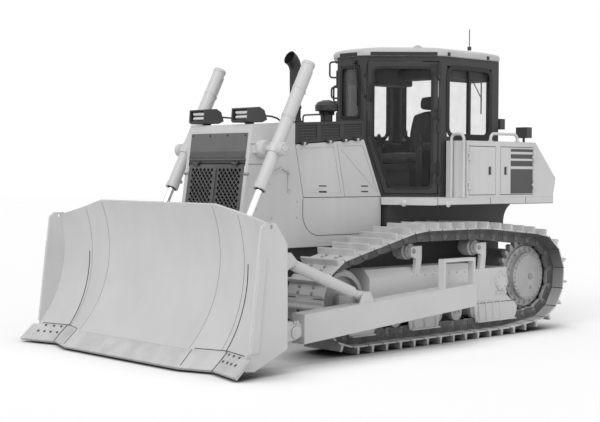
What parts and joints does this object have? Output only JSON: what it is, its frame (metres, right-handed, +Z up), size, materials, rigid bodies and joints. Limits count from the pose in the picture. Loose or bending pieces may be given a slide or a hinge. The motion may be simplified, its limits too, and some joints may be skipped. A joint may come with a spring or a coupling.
{
  "type": "crawler bulldozer",
  "caption": "Crawler bulldozer with a curved straight blade on push arms, lift and tilt cylinders, a six-sided glazed cab, opening doors and grille, and tracks with grousers.",
  "frame": {"origin": "on the ground, halfway along the length and on the centre plane", "axes": "+X forward, towards the blade; +Y to the driver's left; +Z up"},
  "size_m": [5.374, 3.41, 3.36],
  "materials": {
    "paint": "satin",
    "dark_paint": "satin",
    "track_steel": "worn",
    "edge_steel": "worn",
    "rod": "polished",
    "glass": "clear",
    "trim": "matte",
    "mass": "matte"
  },
  "bodies": {
    "chassis": {"main_frame": "paint", "cross_shafts": "track_steel", "track_frames": "paint", "track_l": "track_steel", "track_r": "track_steel", "sprockets": "track_steel", "idlers": "track_steel", "rollers": "track_steel", "engine": "mass", "radiator": "mass", "nose": "paint", "front_panel": "dark_paint", "hood": "dark_paint", "exhaust": "dark_paint", "precleaner": "dark_paint", "headlamps": "dark_paint", "platform": "paint", "cab_frame": "dark_paint", "cab_roof": "paint", "cab_glass": "glass", "seat": "trim", "console": "trim", "fender_boxes": "paint", "rear_tank": "paint", "rear_lamps": "dark_paint", "grab_rails": "paint", "antenna": "dark_paint", "drawbar": "paint", "lift_yokes": "paint"},
    "arm_right": {"push_arm_r": "paint"},
    "blade": {"moldboard": "paint", "blade_frame": "paint", "cutting_edges": "edge_steel", "push_arm_l": "paint", "brace_l": "paint"},
    "tilt_barrel": {"tilt_barrel": "paint"},
    "tilt_rod": {"tilt_rod": "rod"},
    "lift_barrel_left": {"lift_barrel_l": "paint"},
    "lift_barrel_right": {"lift_barrel_r": "paint"},
    "lift_rod_left": {"lift_rod_l": "rod"},
    "lift_rod_right": {"lift_rod_r": "rod"},
    "cab_door_left": {"cab_door_l": "dark_paint", "door_glass_l": "glass"},
    "cab_door_right": {"cab_door_r": "dark_paint", "door_glass_r": "glass"},
    "engine_door_front_left": {"engine_door_fl": "paint"},
    "engine_door_rear_left": {"engine_door_rl": "paint"},
    "engine_door_front_right": {"engine_door_fr": "paint"},
    "engine_door_rear_right": {"engine_door_rr": "paint"},
    "grille": {"grille_door": "dark_paint"},
    "box_door_front_left": {"box_door_fl": "paint"},
    "box_door_rear_left": {"box_door_rl": "paint"},
    "box_door_front_right": {"box_door_fr": "paint"},
    "box_door_rear_right": {"box_door_rr": "paint"}
  },
  "joints": [
    {"name": "blade_lift", "type": "hinge", "parent": "chassis", "child": "arm_right", "pos_m": [-0.7084, 0, 0.49], "axis": [0, -1, 0], "range_deg": [-7.5, 19]},
    {"name": "blade_tilt", "type": "hinge", "parent": "arm_right", "child": "blade", "pos_m": [1.764, -1.315, 0.322], "axis": [-0.6842, 0.7278, 0.0465], "range_deg": [-10.2, 10.2]},
    {"name": "lift_swing_left", "type": "hinge", "parent": "chassis", "child": "lift_barrel_left", "pos_m": [1.3326, 0.68, 1.97], "axis": [0, -1, 0], "range_deg": [-7.06, 17.13]},
    {"name": "lift_stroke_left", "type": "slide", "parent": "lift_barrel_left", "child": "lift_rod_left", "axis": [0.4578, 0, -0.8891], "range_m": [-0.8412, 0.3381]},
    {"name": "lift_swing_right", "type": "hinge", "parent": "chassis", "child": "lift_barrel_right", "pos_m": [1.3326, -0.68, 1.97], "axis": [0, -1, 0], "range_deg": [-7.06, 17.13]},
    {"name": "lift_stroke_right", "type": "slide", "parent": "lift_barrel_right", "child": "lift_rod_right", "axis": [0.4578, 0, -0.8891], "range_m": [-0.8412, 0.3381]},
    {"name": "tilt_swing", "type": "hinge", "parent": "arm_right", "child": "tilt_barrel", "pos_m": [0.782, -1.315, 0.571], "axis": [-0.3227, 0.4253, 0.8456], "range_deg": [-4.89, 4.89]},
    {"name": "tilt_stroke", "type": "slide", "parent": "tilt_barrel", "child": "tilt_rod", "axis": [0.9343, 0, 0.3565], "range_m": [-0.0803, 0.0803]},
    {"name": "cab_door_left", "type": "hinge", "parent": "chassis", "child": "cab_door_left", "pos_m": [-0.92396, 0.76922, 1.512], "axis": [0, 0, 1], "range_deg": [0, 110]},
    {"name": "cab_door_right", "type": "hinge", "parent": "chassis", "child": "cab_door_right", "pos_m": [-0.92396, -0.76922, 1.512], "axis": [0, 0, -1], "range_deg": [0, 110]},
    {"name": "engine_door_front_left", "type": "hinge", "parent": "chassis", "child": "engine_door_front_left", "pos_m": [0.5496, 0.4943, 2.05201], "axis": [0.9974, 0, -0.0717], "range_deg": [0, 100]},
    {"name": "engine_door_front_right", "type": "hinge", "parent": "chassis", "child": "engine_door_front_right", "pos_m": [0.5496, -0.4943, 2.05201], "axis": [-0.9974, 0, 0.0717], "range_deg": [0, 100]},
    {"name": "engine_door_rear_left", "type": "hinge", "parent": "chassis", "child": "engine_door_rear_left", "pos_m": [0.0996, 0.4943, 2.08435], "axis": [0.9974, 0, -0.0717], "range_deg": [0, 100]},
    {"name": "engine_door_rear_right", "type": "hinge", "parent": "chassis", "child": "engine_door_rear_right", "pos_m": [0.0996, -0.4943, 2.08435], "axis": [-0.9974, 0, 0.0717], "range_deg": [0, 100]},
    {"name": "grille_swing", "type": "hinge", "parent": "chassis", "child": "grille", "pos_m": [1.51526, 0, 1.82903], "axis": [0, 1, 0], "range_deg": [-95, 0]},
    {"name": "box_door_front_left", "type": "hinge", "parent": "chassis", "child": "box_door_front_left", "pos_m": [-1.0674, 1.0943, 1.512], "axis": [0, 0, -1], "range_deg": [0, 100]},
    {"name": "box_door_rear_left", "type": "hinge", "parent": "chassis", "child": "box_door_rear_left", "pos_m": [-2.1844, 1.0943, 1.512], "axis": [0, 0, 1], "range_deg": [0, 100]},
    {"name": "box_door_front_right", "type": "hinge", "parent": "chassis", "child": "box_door_front_right", "pos_m": [-1.0674, -1.0943, 1.512], "axis": [0, 0, 1], "range_deg": [0, 100]},
    {"name": "box_door_rear_right", "type": "hinge", "parent": "chassis", "child": "box_door_rear_right", "pos_m": [-2.1844, -1.0943, 1.512], "axis": [0, 0, -1], "range_deg": [0, 100]}
  ],
  "couplings": [
    {"joint": "lift_swing_left", "follows": "blade_lift", "ratio": 0.87504},
    {"joint": "lift_stroke_left", "follows": "blade_lift", "m_per_rad": -2.5066},
    {"joint": "lift_swing_right", "follows": "blade_lift", "ratio": 0.87504},
    {"joint": "lift_stroke_right", "follows": "blade_lift", "m_per_rad": -2.5066},
    {"joint": "tilt_swing", "follows": "blade_tilt", "ratio": 0.44046},
    {"joint": "tilt_stroke", "follows": "blade_tilt", "m_per_rad": 0.42295}
  ]
}
